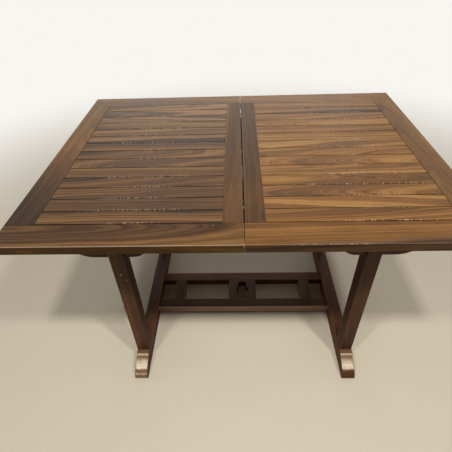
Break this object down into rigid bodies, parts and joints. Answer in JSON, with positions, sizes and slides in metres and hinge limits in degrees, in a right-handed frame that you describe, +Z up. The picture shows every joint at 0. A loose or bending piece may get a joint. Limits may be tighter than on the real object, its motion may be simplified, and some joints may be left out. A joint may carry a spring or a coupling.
{
  "type": "extending garden table",
  "caption": "Rectangular slatted hardwood garden table on sled-foot trestles; its split top slides apart on guide rails to take a leaf that is stored underneath.",
  "frame": {"origin": "on the floor under the middle of the closed table", "axes": "+X along the table to its right end, +Y to its back, +Z up"},
  "size_m": [1.2, 0.915, 0.725],
  "materials": {
    "top_hardwood": "stained and oiled hardwood, semi-gloss, worn at the arrises",
    "base_hardwood": "dark stained hardwood, semi-gloss, worn at the toes",
    "dowel_wood": "plain turned hardwood",
    "brass": "dulled brass",
    "steel": "zinc-plated steel"
  },
  "bodies": {
    "base": {"base_screws": "steel", "front_guide_rail": "base_hardwood", "front_leaf_ledge": "base_hardwood", "front_stretcher_rail": "base_hardwood", "left_bearer": "base_hardwood", "left_foot": "base_hardwood", "left_front_brackets": "base_hardwood", "left_front_post": "base_hardwood", "left_rear_brackets": "base_hardwood", "left_rear_post": "base_hardwood", "left_stretcher_slat": "base_hardwood", "rear_guide_rail": "base_hardwood", "rear_leaf_ledge": "base_hardwood", "rear_stretcher_rail": "base_hardwood", "right_bearer": "base_hardwood", "right_foot": "base_hardwood", "right_front_brackets": "base_hardwood", "right_front_post": "base_hardwood", "right_rear_brackets": "base_hardwood", "right_rear_post": "base_hardwood", "right_stretcher_slat": "base_hardwood", "stretcher_barrel_nuts": "steel", "stretcher_bolts": "steel", "stretcher_centre_board": "base_hardwood", "travel_stops": "base_hardwood"},
    "left_top": {"catch_pivots": "brass", "left_end_rail": "top_hardwood", "left_front_rail": "top_hardwood", "left_front_runner": "top_hardwood", "left_inner_batten": "top_hardwood", "left_outer_batten": "top_hardwood", "left_rear_rail": "top_hardwood", "left_rear_runner": "top_hardwood", "left_screws": "steel", "left_seam_rail": "top_hardwood", "left_slats": "top_hardwood", "left_stop_blocks": "top_hardwood", "seam_dowels": "dowel_wood"},
    "right_top": {"catch_pegs": "brass", "right_end_rail": "top_hardwood", "right_front_rail": "top_hardwood", "right_front_runner": "top_hardwood", "right_inner_batten": "top_hardwood", "right_outer_batten": "top_hardwood", "right_rear_rail": "top_hardwood", "right_rear_runner": "top_hardwood", "right_screws": "steel", "right_seam_rail": "top_hardwood", "right_slats": "top_hardwood", "right_stop_blocks": "top_hardwood"},
    "leaf": {"leaf_battens": "top_hardwood", "leaf_dowels": "dowel_wood", "leaf_front_side_rail": "top_hardwood", "leaf_left_end_rail": "top_hardwood", "leaf_rear_side_rail": "top_hardwood", "leaf_right_end_rail": "top_hardwood", "leaf_screws": "steel", "leaf_slats": "top_hardwood"},
    "front_catch": {"front_catch_hook": "brass"},
    "rear_catch": {"rear_catch_hook": "brass"}
  },
  "joints": [
    {"name": "left_half_slide", "type": "slide", "parent": "base", "child": "left_top", "axis": [-1, 0, 0], "range_m": [0, 0.2]},
    {"name": "right_half_slide", "type": "slide", "parent": "base", "child": "right_top", "axis": [1, 0, 0], "range_m": [0, 0.2]},
    {"name": "leaf_slide", "type": "slide", "parent": "base", "child": "leaf", "axis": [1, 0, 0], "range_m": [0, 0.55]},
    {"name": "front_catch_swing", "type": "hinge", "parent": "left_top", "child": "front_catch", "pos_m": [-0.028, -0.12, 0.6972], "axis": [0, 0, -1], "range_deg": [0, 90]},
    {"name": "rear_catch_swing", "type": "hinge", "parent": "left_top", "child": "rear_catch", "pos_m": [-0.028, 0.12, 0.6972], "axis": [0, 0, 1], "range_deg": [0, 90]}
  ]
}
